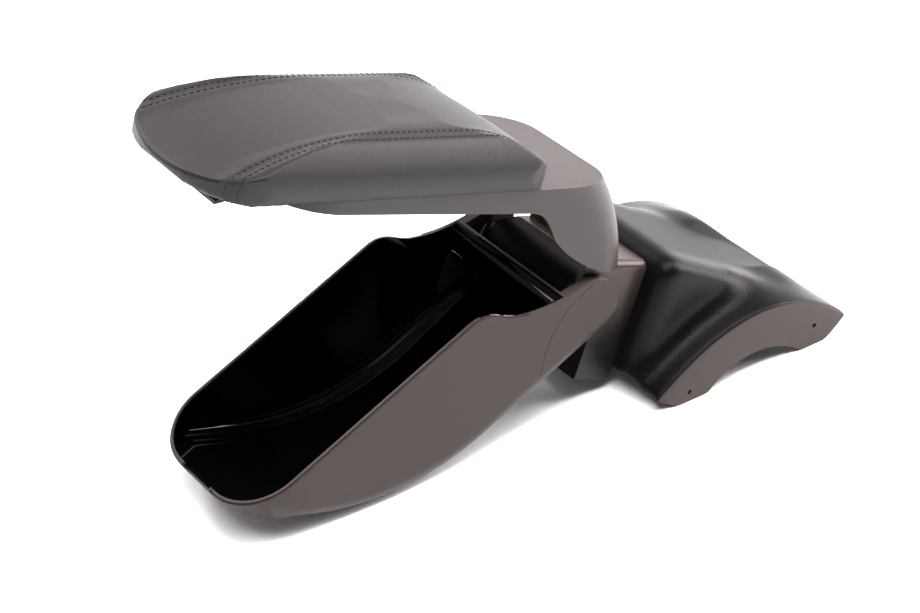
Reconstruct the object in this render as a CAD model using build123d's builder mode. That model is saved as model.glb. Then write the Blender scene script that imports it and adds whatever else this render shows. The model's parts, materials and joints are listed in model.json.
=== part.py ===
"""Car centre armrest: a storage bin with a padded lid on a leaning post and a tunnel saddle."""
import os
from math import atan2, cos, degrees, hypot, radians, sin, sqrt, tan

from build123d import *

os.makedirs("parts", exist_ok=True)

# Resting pose: the bin hangs nose down on the floor and its lid stands open
arm_pitch = 24.7
lid_opening = 44.2
axle_x = 36.0

# Storage bin, measured from the axle along the rim and square to it
bin_half_width = 65.0
nose_reach = 295.0
nose_corner_radius = 43.0
rim_height = 71.3
shoulder_reach = 90.0
shoulder_middle = (-57.0, 48.0)
shoulder_slope = -0.73
tail_height = 24.5
tail_drop = 22.7
tail_reach = 19.7
tail_middle = 3.0
tail_slope = -0.18
floor_drop = 31.0
floor_rear = 62.0
bow_lead = 180.0
bow_start = nose_reach - bow_lead
bow_radius = 198.0
bow_sweep = 44.2
bow_run = 80.0
bin_wall = 3.0
floor_fillet = 16.0
bulkhead_radius = 33.0
tail_opening = 16.0
tail_inner_half = 57.0
notch_width = 35.0
notch_depth = 4.0
notch_rib = 1.6
notch_rib_height = 0.8
rim_step = 1.2
rim_step_depth = 1.6
rim_step_end = -24.0

# Cheek caps, cut to a round parting line
cap_thickness = 3.4
cap_circle_radius = 66.5
cap_circle_reach = -1.9
cap_circle_drop = 46.5
cap_gap = 0.4
cap_screw_places = ((-20.0, -18.0), (9.0, -17.0))
cap_screw_radius = 1.5
cap_screw_head_radius = 3.0
cap_screw_head_height = 1.6
cap_screw_bite = 1.4

# Axle, bushes and washers
axle_radius = 6.0
axle_chamfer = 0.75
axle_end_gap = 0.3
running_gap = 0.05
seat_gap = 0.02
bush_wall = 2.0
face_gap = 0.3
washer_thickness = 2.0

# Lid
lid_gap = 2.2
lid_wall = 3.0
lid_front_height = 81.0
lid_rear_height = 95.0
lid_top_reach = 12.0
lid_rear_drop = 32.0
lid_rear_middle = (13.0, lid_rear_height - lid_rear_drop)
lid_foot_reach = 28.0
lid_corner_radius = 32.0
lid_ear_thickness = 6.0
lid_ear_boss_radius = 14.0
lid_ear_front = 12.0
lid_ear_neck = 4.0
lid_ear_bend = 6.0
lid_ear_root = 36.0
lid_ear_root_rear = 26.0
lid_ear_knee = 62.0

# Cushion and its board, measured on the lid's top from the lid's rear edge
cushion_rear = 64.0
cushion_length = 270.8
cushion_half_width = 71.0
cushion_foot_inset = 4.0
cushion_bow = 22.0
cushion_rear_corner = 32.0
cushion_front_corner = 38.0
# Pad heights: along its middle from the rear end and from the front, and across from its side
cushion_crown = (100.0, 44.0)
cushion_back = ((0.0, 7.0), (17.0, 23.5), (37.0, 33.5), (65.0, 40.5))
cushion_brow = ((138.0, 43.0), (92.0, 38.0), (62.0, 32.0), (32.0, 22.5), (11.0, 13.0), (0.0, 5.0))
cushion_flank = ((0.0, 11.0), (1.5, 20.0), (8.0, 30.0), (22.0, 41.0), (46.0, 43.3))
board_thickness = 4.0
board_inset = 9.0
board_gap = 0.3
board_screw_radius = 2.0
board_screw_head_radius = 4.0
board_screw_head_height = 2.4
board_screw_bite = 3.4
board_screw_rear_inset = 45.0
board_screw_front_inset = 24.0
board_screw_half_spacing = 40.0

# Post, measured forward of its rear face and up along it
post_lean = 20.5
post_foot_x = 66.6
post_foot_z = 14.0
post_half_width = 48.0
post_depth = 35.4
post_top = 91.0
post_bottom = -5.0
post_cover = 8.0
post_edge = 7.0
knuckle_radius = 18.0
knuckle_root_low = 34.0
knuckle_root_high = 83.0
knuckle_root_round = 1.0

# Saddle that straddles the tunnel
saddle_wall = 3.0
saddle_rear_x = 263.0
saddle_half_width = 97.0
saddle_rear_edge = 15.0
saddle_skirt = 6.0
saddle_stations = 24
plateau_front_x = 103.0
plateau_front_z = 111.0
hump_half_width = 68.5
hump_rounding = 13.0
hump_foot_rise = 8.0
hump_toe_share = 0.3
hump_outer_share = 0.55
hump_bulge = 0.4
ridge_half_width = 76.0
shelf_rise = 4.5
crease_half = 93.0
crease_fillet = 4.0
crease_peak_x = 175.0
crease_peak = 50.0
crease_fall_front = 0.0040
crease_fall_rear = 0.0045
crest_half_width = 57.0
crest_step = 2.0
crest_start_x = 165.0
crest_meet_x = 200.0
crest_peak_x = 230.0
crest_rise = 9.0
pocket_front_x = 178.0
pocket_rear_x = 254.0
pocket_half_width = 44.0
pocket_rear_half_width = 24.0
pocket_corner = 16.0
pocket_taper = 40.0
foot_front = (93.0, 121.0)
foot_rear = (216.0, 240.0)
foot_round = 9.0
flange_arch = 17.0
flange_front_rise = 14.0
flange_hole_radius = 2.0
flange_holes = ((104.0, 7.6), (229.5, 16.6))

# Clamping of the post to the saddle
plate_thickness = 3.0
plate_half_width = 42.0
plate_low = 16.0
plate_high = 76.0
bolt_radius = 3.0
bolt_hole_gap = 0.3
bolt_head_radius = 5.0
bolt_head_height = 4.0
bolt_bite = 18.0
bolt_washer_radius = 6.5
bolt_washer_thickness = 1.5
bolt_half_spacing = 28.0
bolt_rows = (28.0, 62.0)

# Latch under the pad's front
latch_half_width = 14.0
latch_thickness = 3.0
latch_pin_radius = 1.5
latch_pin_reach = 9.0
latch_pin_lift = 2.5
latch_barrel_radius = 3.4
latch_hang = 16.0
latch_toe = 11.0
latch_toe_height = 2.5
latch_lug_thickness = 3.0
latch_tab = 9.0
spring_wire = 0.6
spring_half_width = 5.0
spring_gap = 0.3

# Places worked out from the pose: the bow's lowest line lies on the floor
pitch = radians(arm_pitch)
axle_z = bow_radius + bow_start * sin(pitch) - (bow_radius - floor_drop) * cos(pitch)
lid_pitch = arm_pitch - lid_opening


def side_plane(angle):
    """Plane through the axle, seen from the left: x to the rear, y up, turned nose down by angle."""
    turn = radians(angle)
    return Plane(origin=(axle_x, 0, axle_z), x_dir=(cos(turn), 0, sin(turn)), z_dir=(0, -1, 0))


def level_plane(angle, height):
    """Plane parallel to a rim: x to the rear, y across, at a height over the axle."""
    turn = radians(angle)
    normal = Vector(-sin(turn), 0, cos(turn))
    origin = Vector(axle_x, 0, axle_z) + normal * height
    return Plane(origin=origin, x_dir=(cos(turn), 0, sin(turn)), z_dir=normal)


arm_side = side_plane(arm_pitch)
lid_side = side_plane(lid_pitch)
arm_rim = level_plane(arm_pitch, rim_height)
tub_depth = rim_height + floor_drop + bin_wall
lean = radians(post_lean)
post_side = Plane(
    origin=(post_foot_x, 0, post_foot_z),
    x_dir=(-cos(lean), 0, sin(lean)),
    z_dir=(0, 1, 0),
)
axle_in_post = post_side.to_local_coords(Vector(axle_x, 0, axle_z))


def shoulder(lift):
    """Curve of the rim from the shoulder down to the tail, raised by lift."""
    middle = (shoulder_middle[0], shoulder_middle[1] + lift)
    return Spline(
        (-shoulder_reach, rim_height + lift),
        middle,
        (0, tail_height + lift),
        tangents=((1, 0), (1, shoulder_slope), (1, tail_slope)),
    )


def trough_section(plane, inset, corner):
    """Upright section of the trough with rounded lower corners, its foot at the plane's origin."""
    depth = floor_drop + rim_height + 2 * bin_wall
    with BuildSketch(plane) as section:
        with Locations((0, depth / 2)):
            Rectangle(2 * (bin_half_width - inset), depth)
        fillet(section.vertices().group_by(Axis.Y)[0], corner)
    return section.sketch


def trough(inset, corner):
    """Block that fills the bin down to its floor, its bow and the straight run up to the nose."""
    turn = radians(bow_sweep)
    inner_radius = bow_radius - inset
    foot = arm_side.from_local_coords(Vector(-bow_start, inset - floor_drop, 0))
    middle = arm_side.from_local_coords(Vector(-bow_start, bow_radius - floor_drop, 0))
    run = arm_side.y_dir * sin(turn) - arm_side.x_dir * cos(turn)
    spoke = arm_side.x_dir * sin(turn) + arm_side.y_dir * cos(turn)
    run_foot = middle - spoke * inner_radius
    flat = trough_section(Plane(origin=foot, x_dir=(0, 1, 0), z_dir=arm_side.x_dir), inset, corner)
    rising = trough_section(Plane(origin=run_foot, x_dir=(0, -1, 0), z_dir=run), inset, corner)
    with BuildPart() as block:
        extrude(flat, amount=bow_start + tail_reach + 2 * bin_wall)
        revolve(flat, axis=Axis(middle, (0, 1, 0)), revolution_arc=bow_sweep)
        extrude(rising, amount=bow_run)
    return block.part


def rear_floor(reach, lift):
    """Height of the sloping rear floor at a reach in front of the axle."""
    return lift - tail_drop - (floor_drop - tail_drop) * reach / floor_rear


def bin_profile():
    """Side view of the bin's rim, shoulder, round tail and sloping rear floor."""
    reach = nose_reach + 2 * bin_wall
    deep = rear_floor(2 * floor_rear, 0)
    with BuildSketch(arm_side) as profile:
        with BuildLine():
            Polyline((-reach, deep), (-reach, rim_height), (-shoulder_reach, rim_height))
            shoulder(0)
            ThreePointArc((0, tail_height), (tail_reach, tail_middle), (0, -tail_drop))
            Polyline((0, -tail_drop), (-2 * floor_rear, deep), (-reach, deep))
        make_face()
    return profile.sketch


def bin_plan(inset):
    """Outline of the rim, seen from above, with a rounded nose."""
    rear = tail_reach + 2 * bin_wall
    front = nose_reach - inset
    with BuildSketch(arm_rim) as plan:
        with Locations(((rear - front) / 2, 0)):
            Rectangle(rear + front, 2 * (bin_half_width - inset))
        fillet(plan.vertices().group_by(Axis.X)[0], nose_corner_radius - inset)
    return plan.sketch


def disc(plane, radius, place=(0, 0)):
    """Round sketch on a plane."""
    with BuildSketch(plane) as sketch:
        with Locations(place):
            Circle(radius)
    return sketch.sketch


# Storage bin
with BuildPart() as bin_hollow:
    add(trough(bin_wall, floor_fillet))
    extrude(bin_plan(bin_wall), amount=tub_depth, both=True, mode=Mode.INTERSECT)
    with BuildSketch(arm_side):
        Circle(bulkhead_radius + bin_wall)
        with Locations((tub_depth, 0)):
            Rectangle(2 * tub_depth, 4 * tub_depth)
        with BuildLine():
            Polyline(
                (-2 * floor_rear, rear_floor(2 * floor_rear, bin_wall)),
                (0, rear_floor(0, bin_wall)),
                (0, rear_floor(2 * floor_rear, 0)),
                close=True,
            )
        make_face()
    extrude(amount=bin_half_width, both=True, mode=Mode.SUBTRACT)

with BuildPart() as bin_block:
    add(trough(0, floor_fillet))
    extrude(bin_profile(), amount=bin_half_width, both=True, mode=Mode.INTERSECT)
    extrude(bin_plan(0), amount=-tub_depth, mode=Mode.INTERSECT)

cap_floor_half = bin_half_width - cap_thickness


def cap_pair(gap):
    """Both flush cheek caps, cut back from the round parting line by a gap."""
    place = (cap_circle_reach, -cap_circle_drop)
    with BuildPart() as caps:
        add(bin_block.part)
        round_cut = disc(arm_side, cap_circle_radius - gap, place)
        extrude(round_cut, amount=bin_half_width, both=True, mode=Mode.INTERSECT)
        with BuildSketch(arm_side):
            Rectangle(4 * nose_reach, 4 * nose_reach)
        extrude(amount=cap_floor_half, both=True, mode=Mode.SUBTRACT)
    return caps.part


bush_bore = axle_radius + running_gap + bush_wall + seat_gap
step_foot = rim_height - rim_step_depth
strip_front = -nose_reach - 2 * bin_wall

with BuildPart() as rim_strip:
    with BuildSketch(arm_side):
        with BuildLine():
            Polyline((strip_front, step_foot), (strip_front, rim_height), (-shoulder_reach, rim_height))
            shoulder(0)
            Line((0, tail_height), (0, tail_height - rim_step_depth))
            shoulder(-rim_step_depth)
            Line((-shoulder_reach, step_foot), (strip_front, step_foot))
        make_face()
        with Locations((rim_step_end, 0)):
            Rectangle(-2 * rim_step_end, 2 * rim_height, mode=Mode.SUBTRACT)
    extrude(amount=2 * bin_half_width, both=True)
    extrude(bin_plan(rim_step), amount=tub_depth, both=True, mode=Mode.SUBTRACT)

with BuildPart() as storage_bin:
    add(bin_block.part)
    add(bin_hollow.part, mode=Mode.SUBTRACT)
    with BuildSketch(arm_side):
        Circle(bulkhead_radius)
        with Locations((bulkhead_radius - tail_opening, 0)):
            Rectangle(2 * bulkhead_radius, 4 * bulkhead_radius)
    extrude(amount=tail_inner_half, both=True, mode=Mode.SUBTRACT)
    add(cap_pair(0), mode=Mode.SUBTRACT)
    extrude(disc(arm_side, bush_bore), amount=bin_half_width, both=True, mode=Mode.SUBTRACT)
    for place in cap_screw_places:
        screw_hole = disc(arm_side, cap_screw_radius + seat_gap, place)
        extrude(screw_hole, amount=bin_half_width, both=True, mode=Mode.SUBTRACT)
    add(rim_strip.part, mode=Mode.SUBTRACT)
    with BuildSketch(arm_rim):
        with Locations((-nose_reach, 0)):
            Rectangle(4 * bin_wall, notch_width)
    extrude(amount=-notch_depth, mode=Mode.SUBTRACT)
    with BuildSketch(arm_rim.offset(-rim_step_depth)):
        with Locations((bin_wall / 2 - nose_reach, 0)):
            with GridLocations(0, notch_width + notch_rib, 1, 2):
                Rectangle(bin_wall, notch_rib)
    extrude(amount=rim_step_depth + notch_rib_height)
storage_bin.part.label = "storage_bin"
export_step(storage_bin.part, "parts/storage_bin.step")

# Cheek caps, left and right, with blind holes for their screws
cap_screw_tip = cap_floor_half + cap_screw_bite
with BuildPart() as cheek_caps:
    add(cap_pair(cap_gap))
    for place in cap_screw_places:
        screw_hole = disc(arm_side, cap_screw_radius + seat_gap, place)
        extrude(screw_hole, amount=cap_screw_tip, both=True, mode=Mode.SUBTRACT)
with BuildPart() as cheek_cap_left:
    add(cheek_caps.part)
    split(bisect_by=Plane.XZ, keep=Keep.TOP)
cheek_cap_left.part.label = "cheek_cap_left"
export_step(cheek_cap_left.part, "parts/cheek_cap_left.step")
with BuildPart() as cheek_cap_right:
    add(cheek_caps.part)
    split(bisect_by=Plane.XZ, keep=Keep.BOTTOM)
cheek_cap_right.part.label = "cheek_cap_right"
export_step(cheek_cap_right.part, "parts/cheek_cap_right.step")

with BuildPart() as cap_screws:
    for place in cap_screw_places:
        extrude(disc(arm_side, cap_screw_radius, place), amount=cap_screw_tip - seat_gap, both=True)
        extrude(disc(arm_side, cap_screw_head_radius, place), amount=tail_inner_half, both=True)
    with BuildSketch(arm_side):
        Rectangle(4 * bulkhead_radius, 4 * bulkhead_radius)
    extrude(amount=tail_inner_half - cap_screw_head_height, both=True, mode=Mode.SUBTRACT)
cap_screws.part.label = "cap_screws"
export_step(cap_screws.part, "parts/cap_screws.step")

# Axle of bin and lid, with the bin's bushes
with BuildPart() as pivot_axle:
    extrude(disc(arm_side, axle_radius), amount=cap_floor_half - axle_end_gap, both=True)
    chamfer(pivot_axle.edges().filter_by(GeomType.CIRCLE), axle_chamfer)
pivot_axle.part.label = "pivot_axle"
export_step(pivot_axle.part, "parts/pivot_axle.step")


def bush_pair(plane, inner, outer):
    """Two plain bushes round the axle, one each side, between two half widths."""
    with BuildPart() as bushes:
        extrude(disc(plane, bush_bore - seat_gap), amount=outer, both=True)
        extrude(disc(plane, bush_bore - seat_gap), amount=inner, both=True, mode=Mode.SUBTRACT)
        extrude(disc(plane, axle_radius + running_gap), amount=outer, both=True, mode=Mode.SUBTRACT)
    return bushes.part


with BuildPart() as bin_bushes:
    add(bush_pair(arm_side, tail_inner_half, cap_floor_half - axle_end_gap))
bin_bushes.part.label = "bin_bushes"
export_step(bin_bushes.part, "parts/bin_bushes.step")

# Lid frame
lid_slope = (lid_rear_height - lid_front_height) / (nose_reach - lid_top_reach)
lid_ear_outer = tail_inner_half - washer_thickness - face_gap
lid_ear_inner = lid_ear_outer - lid_ear_thickness
post_reach = hypot(axle_in_post.X, post_top - axle_in_post.Y)
cutout_radius = post_reach + lid_wall


def lid_top(reach):
    """Height of the lid's top face at a reach in front of the axle."""
    return lid_rear_height - lid_slope * (reach - lid_top_reach)


def lid_body(inset):
    """Lid moulding seen as a full block, or what it is hollowed by when inset."""
    front = nose_reach + 2 * lid_wall
    foot = (lid_foot_reach - inset, tail_height + lid_gap)
    middle = (lid_rear_middle[0] - inset, lid_rear_middle[1])
    brow = (-lid_top_reach - inset, lid_top(lid_top_reach + inset) - inset)
    with BuildPart() as block:
        with BuildSketch(lid_side):
            with BuildLine():
                if inset:
                    Polyline(foot, (-front, foot[1]), (-front, lid_top(front) - inset), brow)
                else:
                    Polyline(brow, (-front, lid_top(front)), (-front, rim_height + lid_gap))
                    Line((-front, rim_height + lid_gap), (-shoulder_reach, rim_height + lid_gap))
                    shoulder(lid_gap)
                    Line((0, foot[1]), foot)
                ThreePointArc(foot, middle, brow)
            make_face()
        extrude(amount=bin_half_width - inset, both=True)
        fillet(block.edges().filter_by(GeomType.CIRCLE), lid_corner_radius - inset)
        with BuildSketch(level_plane(lid_pitch, foot[1])) as nose_plan:
            Rectangle(2 * (nose_reach - inset), 2 * (bin_half_width - inset))
            fillet(nose_plan.vertices().group_by(Axis.X)[0], nose_corner_radius - inset)
        extrude(amount=lid_rear_height, mode=Mode.INTERSECT)
    return block.part


with BuildPart() as lid_ears:
    ear_top = lid_top(lid_ear_root) - lid_wall / 2
    with BuildSketch(lid_side):
        with BuildLine():
            Polyline(
                (lid_ear_front, 0),
                (lid_ear_neck, tail_height + lid_gap),
                (-lid_ear_bend, lid_rear_middle[1]),
                (-lid_ear_root_rear, ear_top),
                (-lid_ear_root, ear_top),
                (-lid_ear_root, lid_ear_knee),
                (-lid_ear_front, bulkhead_radius + bin_wall),
                (-lid_ear_front, 0),
                close=True,
            )
        make_face()
        Circle(lid_ear_boss_radius)
        Circle(bush_bore, mode=Mode.SUBTRACT)
    extrude(amount=lid_ear_outer, both=True)
    with BuildSketch(lid_side):
        Rectangle(4 * lid_rear_height, 4 * lid_rear_height)
    extrude(amount=lid_ear_inner, both=True, mode=Mode.SUBTRACT)

latch_pin_place = (-nose_reach - latch_pin_reach, rim_height + lid_gap + latch_pin_lift)
lug_inner = latch_half_width + face_gap
lug_outer = lug_inner + latch_lug_thickness

with BuildPart() as latch_lugs:
    lug_root = nose_reach - lid_wall / 2
    with BuildSketch(lid_side):
        with Locations(latch_pin_place):
            Circle(latch_barrel_radius)
        with Locations(((latch_pin_place[0] - lug_root) / 2, latch_pin_place[1])):
            Rectangle(latch_pin_place[0] + lug_root, 2 * latch_barrel_radius)
    extrude(amount=lug_outer, both=True)
    with BuildSketch(lid_side):
        Rectangle(4 * nose_reach, 4 * nose_reach)
    extrude(amount=lug_inner, both=True, mode=Mode.SUBTRACT)

seat_pitch = lid_pitch + degrees(atan2(lid_rear_height - lid_front_height, nose_reach - lid_top_reach))
seat_turn = radians(seat_pitch)
seat_origin = lid_side.from_local_coords(Vector(-lid_top_reach, lid_rear_height, 0))
seat_normal = Vector(-sin(seat_turn), 0, cos(seat_turn))
seat_along = Vector(cos(seat_turn), 0, sin(seat_turn))
seat_side = Plane(origin=seat_origin, x_dir=seat_along, z_dir=(0, -1, 0))
seat = Plane(origin=seat_origin, x_dir=seat_along, z_dir=seat_normal)
screw_rows = (-cushion_rear - board_screw_rear_inset, lid_top_reach + board_screw_front_inset - nose_reach)


def board_screw_places():
    """Places of the pad's screws on the lid's top."""
    return [(row, side * board_screw_half_spacing) for row in screw_rows for side in (-1, 1)]


def seat_discs(radius, height):
    """Round sketches for the pad's screws, at a height over the lid's top."""
    with BuildSketch(seat.offset(height)) as discs:
        with Locations(*board_screw_places()):
            Circle(radius)
    return discs.sketch


with BuildPart() as lid_frame:
    add(lid_body(0))
    add(lid_body(lid_wall), mode=Mode.SUBTRACT)
    extrude(disc(lid_side, cutout_radius), amount=lid_ear_inner, both=True, mode=Mode.SUBTRACT)
    add(lid_ears.part)
    add(latch_lugs.part)
    pin_hole = disc(lid_side, latch_pin_radius + seat_gap, latch_pin_place)
    extrude(pin_hole, amount=lug_outer, both=True, mode=Mode.SUBTRACT)
    extrude(seat_discs(board_screw_radius + bolt_hole_gap, 0), amount=-2 * lid_wall, mode=Mode.SUBTRACT)
lid_frame.part.label = "lid_frame"
export_step(lid_frame.part, "parts/lid_frame.step")

with BuildPart() as lid_bushes:
    add(bush_pair(lid_side, lid_ear_inner, lid_ear_outer))
lid_bushes.part.label = "lid_bushes"
export_step(lid_bushes.part, "parts/lid_bushes.step")

# Friction washers between the lid's ears and the bin's
with BuildPart() as friction_washers:
    washer_disc = disc(arm_side, lid_ear_boss_radius)
    extrude(washer_disc, amount=tail_inner_half, both=True)
    extrude(washer_disc, amount=lid_ear_outer + face_gap, both=True, mode=Mode.SUBTRACT)
    washer_hole = disc(arm_side, axle_radius + running_gap)
    extrude(washer_hole, amount=tail_inner_half, both=True, mode=Mode.SUBTRACT)
friction_washers.part.label = "friction_washers"
export_step(friction_washers.part, "parts/friction_washers.step")

# Cushion on its board


def cushion_plan(inset):
    """Outline of the pad on the lid: bowed front, rounded corners."""
    rear = -cushion_rear - inset
    nose = inset - cushion_rear - cushion_length
    half = cushion_half_width - inset
    with BuildSketch(seat) as plan:
        with BuildLine():
            Polyline((nose + cushion_bow, half), (rear, half), (rear, -half), (nose + cushion_bow, -half))
            ThreePointArc((nose + cushion_bow, half), (nose, 0), (nose + cushion_bow, -half))
        make_face()
        fillet(plan.vertices().group_by(Axis.X)[-1], cushion_rear_corner - inset)
        fillet(plan.vertices().group_by(Axis.X)[0], cushion_front_corner - inset)
    return plan.sketch


with BuildPart() as cushion_board:
    extrude(cushion_plan(board_inset), amount=board_thickness)
    board_holes = seat_discs(board_screw_radius + seat_gap, 0)
    extrude(board_holes, amount=board_screw_bite + seat_gap, mode=Mode.SUBTRACT)
cushion_board.part.label = "cushion_board"
export_step(cushion_board.part, "parts/cushion_board.step")

with BuildPart() as cushion:
    front = -cushion_rear - cushion_length
    foot_half = cushion_half_width - cushion_foot_inset
    flank = [(cushion_half_width - inset, height) for inset, height in cushion_flank]
    extrude(cushion_plan(0), amount=2 * cushion_crown[1])
    with BuildSketch(seat_side):
        with BuildLine():
            rear_foot = (-cushion_rear - cushion_foot_inset, board_gap)
            front_foot = (front + cushion_foot_inset, board_gap)
            Line(rear_foot, front_foot)
            Spline(
                rear_foot,
                *[(-cushion_rear - reach, height) for reach, height in cushion_back],
                (-cushion_rear - cushion_crown[0], cushion_crown[1]),
                *[(front + reach, height) for reach, height in cushion_brow],
                front_foot,
            )
        make_face()
    extrude(amount=2 * cushion_half_width, both=True, mode=Mode.INTERSECT)
    with BuildSketch(Plane(origin=seat_origin, x_dir=(0, 1, 0), z_dir=seat_along)):
        with BuildLine():
            Line((-foot_half, board_gap), (foot_half, board_gap))
            Spline(
                (foot_half, board_gap),
                *flank,
                (0, cushion_crown[1]),
                *[(-across, height) for across, height in reversed(flank)],
                (-foot_half, board_gap),
            )
        make_face()
    extrude(amount=2 * nose_reach, both=True, mode=Mode.INTERSECT)
    extrude(cushion_plan(board_inset - board_gap), amount=board_thickness + board_gap, mode=Mode.SUBTRACT)
cushion.part.label = "cushion"
export_step(cushion.part, "parts/cushion.step")

with BuildPart() as cushion_screws:
    extrude(seat_discs(board_screw_radius, -lid_wall), amount=lid_wall + board_screw_bite)
    extrude(seat_discs(board_screw_head_radius, -lid_wall), amount=-board_screw_head_height)
cushion_screws.part.label = "cushion_screws"
export_step(cushion_screws.part, "parts/cushion_screws.step")

# Post that carries the axle
post_face = Plane(origin=post_side.origin, x_dir=(0, -1, 0), z_dir=post_side.x_dir)


def bolt_discs(radius, height):
    """Round sketches for the post's bolts, at a distance in front of the post's rear face."""
    places = [(side * bolt_half_spacing, row) for row in bolt_rows for side in (-1, 1)]
    with BuildSketch(post_face.offset(height)) as discs:
        with Locations(*places):
            Circle(radius)
    return discs.sketch


def post_outline(height):
    """Outline of the post seen from behind, with rounded upper corners."""
    rise = post_top - post_bottom
    with BuildSketch(post_face.offset(height)) as outline:
        with Locations((0, post_bottom + rise / 2)):
            Rectangle(2 * post_half_width, rise)
        fillet(outline.vertices().group_by(Axis.Y)[-1], post_edge)
    return outline.sketch


with BuildPart() as post_body:
    extrude(post_outline(post_cover), amount=post_depth - post_cover)
    with BuildSketch(post_side):
        with Locations(axle_in_post):
            Circle(knuckle_radius)
        with Locations((post_depth, knuckle_root_low), (post_depth, knuckle_root_high)):
            Circle(knuckle_root_round)
        make_hull()
    extrude(amount=post_half_width, both=True)
    axle_hole = disc(post_side, axle_radius + seat_gap, axle_in_post)
    extrude(axle_hole, amount=post_half_width, both=True, mode=Mode.SUBTRACT)
    bolt_holes = bolt_discs(bolt_radius + seat_gap, post_cover)
    extrude(bolt_holes, amount=bolt_bite - post_cover + seat_gap, mode=Mode.SUBTRACT)
post_body.part.label = "post_body"
export_step(post_body.part, "parts/post_body.step")

with BuildPart() as post_rear_cover:
    extrude(post_outline(0), amount=post_cover)
    extrude(bolt_discs(bolt_radius + bolt_hole_gap, 0), amount=post_cover, mode=Mode.SUBTRACT)
post_rear_cover.part.label = "post_rear_cover"
export_step(post_rear_cover.part, "parts/post_rear_cover.step")

# Saddle
plateau_fall = (plateau_front_z - saddle_rear_edge) / (saddle_rear_x - plateau_front_x)


def ease(share):
    """Smooth step from 0 to 1."""
    held = min(max(share, 0), 1)
    return held * held * (3 - 2 * held)


saddle_front_x = post_foot_x - post_foot_z * tan(lean)


def plateau_height(x):
    """Height of the sloping plateau at a place along the car."""
    return plateau_front_z - plateau_fall * (x - plateau_front_x)


def shelf_section(x, inset):
    """Cross section of shelf and flanges: crest, ridge, crease and skirt on each side."""
    fall = crease_fall_front if x < crease_peak_x else crease_fall_rear
    crease = crease_peak - fall * (x - crease_peak_x) ** 2 - inset
    behind = max(x - crease_peak_x, 0) / (saddle_rear_x - crease_peak_x)
    ridge = crease + shelf_rise * (1 - behind**2)
    climb = (x - crest_meet_x) / (crest_peak_x - crest_meet_x)
    descent = (saddle_rear_x - x) / (saddle_rear_x - crest_peak_x)
    plateau = plateau_height(x) - inset
    crest = plateau + crest_rise * ease(min(climb, descent))
    meeting = ease((x - crest_start_x) / (crest_meet_x - crest_start_x))
    crest = ridge + crest_step + (crest - crest_step - ridge) * meeting
    if inset:
        crest = min(ridge, plateau) - crest_step
    outer_fall = hump_outer_share * (crest - ridge) + hump_bulge
    foot = ridge + (1 - meeting) * hump_foot_rise + meeting * outer_fall
    toe = ridge + (foot - ridge) * hump_toe_share
    half = [
        (crest_half_width - inset, crest),
        (hump_half_width - inset - crest_step, foot),
        (hump_half_width - inset + crest_step, toe),
        (ridge_half_width - inset, ridge),
        (crease_half - inset, crease),
        (saddle_half_width - inset, -saddle_skirt - inset),
    ]
    mirrored = [(-across, height) for across, height in reversed(half)]
    with BuildSketch(Plane(origin=(x, 0, 0), x_dir=(0, 1, 0), z_dir=(1, 0, 0))) as section:
        with BuildLine():
            Polyline(*half, *mirrored, close=True)
        make_face()
    return section.sketch


def saddle_hump(inset):
    """Wedge of the hump behind the post, with its upper and front edges rounded."""
    low = -saddle_skirt - inset
    front = saddle_front_x + inset / cos(lean)
    top = (plateau_height(front) - inset) / (1 + plateau_fall * tan(lean))
    with BuildPart() as hump:
        with BuildSketch(Plane.XZ):
            with BuildLine():
                Polyline(
                    (front + low * tan(lean), low),
                    (front + top * tan(lean), top),
                    (saddle_rear_x, saddle_rear_edge - inset),
                    (saddle_rear_x, low),
                    close=True,
                )
            make_face()
        extrude(amount=hump_half_width - inset, both=True)
        upper = hump.edges().filter_by(lambda edge: edge.center().Z > low + saddle_wall)
        forward = upper.filter_by(lambda edge: edge.center().X < saddle_rear_x - saddle_wall)
        fillet(forward, hump_rounding - inset)
    return hump.part


def saddle_block(inset):
    """Full block of the saddle: shelf and flanges cut in front along the post's rear face, and the hump."""
    front = saddle_front_x - saddle_wall
    step = (saddle_rear_x - front) / (saddle_stations - 1)
    with BuildPart() as block:
        loft([shelf_section(front + step * count, inset) for count in range(saddle_stations)])
        with BuildSketch(post_side):
            with Locations((plateau_front_z - inset, 0)):
                Rectangle(2 * plateau_front_z, 4 * plateau_front_z)
        extrude(amount=2 * saddle_half_width, both=True, mode=Mode.SUBTRACT)
        add(saddle_hump(inset))
    return block.part


plateau_turn = -atan2(plateau_front_z - saddle_rear_edge, saddle_rear_x - plateau_front_x)
plateau_plane = Plane(
    origin=(saddle_rear_x, 0, saddle_rear_edge),
    x_dir=(cos(plateau_turn), 0, sin(plateau_turn)),
    z_dir=(-sin(plateau_turn), 0, cos(plateau_turn)),
)

with BuildPart() as pocket:
    with BuildSketch(plateau_plane) as pocket_plan:
        with BuildLine():
            Polyline(
                ((pocket_front_x - saddle_rear_x) / cos(plateau_turn), pocket_half_width),
                ((pocket_rear_x - saddle_rear_x) / cos(plateau_turn), pocket_rear_half_width),
                ((pocket_rear_x - saddle_rear_x) / cos(plateau_turn), -pocket_rear_half_width),
                ((pocket_front_x - saddle_rear_x) / cos(plateau_turn), -pocket_half_width),
                close=True,
            )
        make_face()
        fillet(pocket_plan.vertices().group_by(Axis.X)[-1], pocket_corner)
    extrude(amount=2 * crest_rise, taper=-pocket_taper)

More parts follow.
